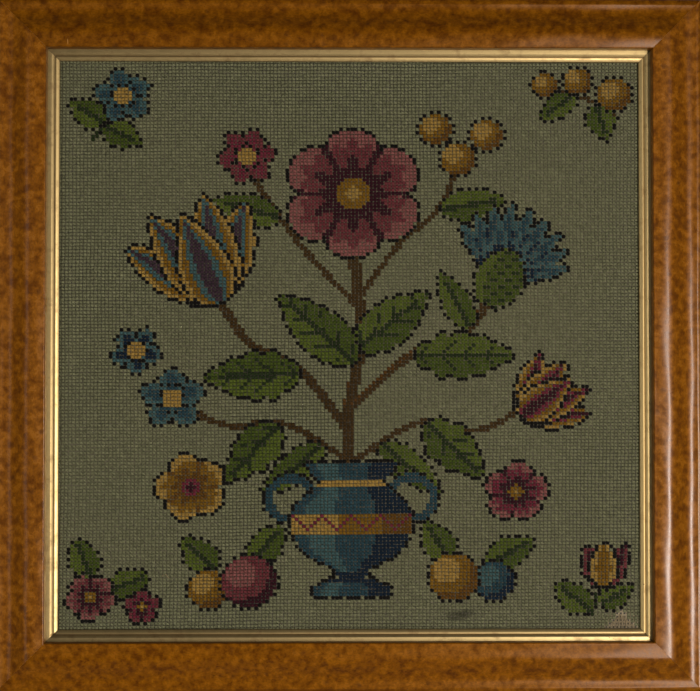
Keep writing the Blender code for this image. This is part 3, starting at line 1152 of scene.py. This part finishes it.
class EMBROIDERY_OT_canvas(Operator):
    """Makes the bare canvas that carries the stitches"""

    bl_idname = "embroidery.canvas"
    bl_label = "Canvas"

    def execute(self, context):
        cells = CANVAS_CELLS
        x, z = np.meshgrid(*(np.linspace(-0.5, 0.5, cells + 1) * size for size in (CANVAS_W, CANVAS_H)))
        x, z = x.ravel(), z.ravel()
        back = np.stack([x, -(CANVAS_BACK_H + swell(x, z)), z], axis=1)
        front = back - (0.0, settings().canvas.canvas_t, 0.0)
        layer = len(back)
        grid = np.arange(layer).reshape(cells + 1, cells + 1)
        faces = []
        for a, b in zip(grid[:-1, :-1].ravel().tolist(), grid[1:, :-1].ravel().tolist()):
            faces += [(layer + a, layer + a + 1, layer + b + 1, layer + b), (a, b, b + 1, a + 1)]
        rim = [*grid[0, :-1], *grid[:-1, -1], *grid[-1, :0:-1], *grid[:0:-1, 0]]
        faces += [(start, end, layer + end, layer + start) for start, end in zip(rim, rim[1:] + rim[:1])]
        mesh = new_mesh("canvas", np.concatenate([back, front]).tolist(), faces)
        mesh.set_sharp_from_angle(angle=CANVAS_ARRIS)
        add_piece("canvas", mesh, [bare_canvas("bare_canvas")], ("needlework",))
        return {"FINISHED"}


class EMBROIDERY_OT_stitches(Operator):
    bl_idname = "embroidery.stitches"
    bl_label = "Stitches"

    def execute(self, context):
        wools = {name: dyed_wool("wool_" + key(name), tuple(getattr(settings().yarn, key(name))),
                                 WOOL_MARKS if name == "ground" else ())
                 for name in YARNS}
        stitching = Stitching()
        row, off = stitching.row, np.abs(stitching.column - WORN_COLUMN)
        worn = (row < WORN_ROWS - WORN_SLOPE * off) | ((row < WORN_FOOT_ROWS) & (off < WORN_FOOT_HALF))
        stitching.yarn[worn] = NO_YARN
        groups = []
        for band in range(GROUND_BANDS):
            low, high = band * ROWS / GROUND_BANDS, (band + 1) * ROWS / GROUND_BANDS
            groups.append((f"stitches_ground_{band + 1}", ["ground"], (row >= low) & (row < high)))
        groups += [(name, yarns, True) for name, yarns in STITCH_GROUPS.items()]
        for name, yarns, where in groups:
            chosen = np.isin(stitching.yarn, [YARN_NUMBER[yarn] for yarn in yarns]) & where
            stitch_piece(name, stitching, chosen, yarns, wools)
        loose_threads(stitching)
        return {"FINISHED"}


class EMBROIDERY_OT_board(Operator):
    """Finishes the board behind the canvas"""

    bl_idname = "embroidery.board"
    bl_label = "Backing board"

    def execute(self, context):
        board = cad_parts["backing_board"]
        board.data.materials.clear()
        board.data.materials.append(raw_wood("aged_softwood_board", "8f7650"))
        return {"FINISHED"}


class EMBROIDERY_OT_stage(Operator):
    """Makes the floor, the lamps and the camera"""

    bl_idname = "embroidery.stage"
    bl_label = "Stage"

    def execute(self, context):
        s = settings().stage
        scene = context.scene
        scene.view_settings.view_transform = "Standard"
        corners = [(FLOOR_REACH * x, FLOOR_REACH * y, 0) for x, y in ((-1, -1), (1, -1), (1, 1), (-1, 1))]
        mesh = new_mesh("floor", corners, [(0, 1, 2, 3)])
        mesh.materials.append(matt_floor("matt_floor"))
        floor = add_object("floor", mesh)
        floor.location.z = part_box("rail_bottom")[0].z - s.floor_drop
        world = bpy.data.worlds.new("soft_room")
        world.use_nodes = True
        room = world.node_tree.nodes["Background"].inputs
        room["Color"].default_value = ROOM_TINT
        room["Strength"].default_value = ROOM_STRENGTH
        scene.world = world
        for name, (_, place, width, height, tint, matt, glossy) in LAMPS.items():
            data = bpy.data.lights.new(name, "AREA")
            data.shape = "RECTANGLE"
            data.size, data.size_y, data.energy = width, height, getattr(s, name)
            data.color = tint
            lamp = add_object(name, data)
            lamp.location = OPENING_MID + Vector(place)
            lamp.visible_diffuse, lamp.visible_glossy = matt, glossy
            lamp.rotation_euler = (-Vector(place)).to_track_quat("-Z", "Y").to_euler()
        data = bpy.data.cameras.new("camera")
        data.lens = s.lens
        data.sensor_width = SENSOR_MM
        data.clip_start, data.clip_end = CAMERA_SEES
        camera = add_object("camera", data)
        camera.location = (s.camera_x, -s.distance, s.camera_z)
        camera.rotation_euler = (math.pi / 2 + s.pitch, 0.0, -s.yaw)
        scene.camera = camera
        return {"FINISHED"}


class EMBROIDERY_PT_panel(Panel):
    """Lists the steps in the order in which they are run."""

    bl_label = "Framed embroidery"
    bl_idname = "EMBROIDERY_PT_panel"
    bl_space_type = "VIEW_3D"
    bl_region_type = "UI"
    bl_category = "Embroidery"

    def draw(self, context):
        for step in STEPS:
            self.layout.operator(step.bl_idname)
        for group in ("rail", "slip", "canvas", "yarn", "stage"):
            box = self.layout.box()
            box.label(text=group.capitalize())
            values = getattr(context.scene.framed_embroidery, group)
            for name in values.__annotations__:
                box.prop(values, name)


STEPS = (
    EMBROIDERY_OT_stage,
    EMBROIDERY_OT_rails,
    EMBROIDERY_OT_slips,
    EMBROIDERY_OT_canvas,
    EMBROIDERY_OT_stitches,
    EMBROIDERY_OT_board,
)
GROUPS = (RailSizes, SlipSizes, CanvasSizes, YarnColours, StageSettings, EmbroiderySettings)


def register():
    for made in (*GROUPS, *STEPS, EMBROIDERY_PT_panel):
        bpy.utils.register_class(made)
    bpy.types.Scene.framed_embroidery = PointerProperty(type=EmbroiderySettings)


def unregister():
    del bpy.types.Scene.framed_embroidery
    for made in reversed((*GROUPS, *STEPS, EMBROIDERY_PT_panel)):
        bpy.utils.unregister_class(made)


def main():
    register()
    for step in STEPS:
        group, name = step.bl_idname.split(".")
        getattr(getattr(bpy.ops, group), name)()


if __name__ == "__main__":
    main()
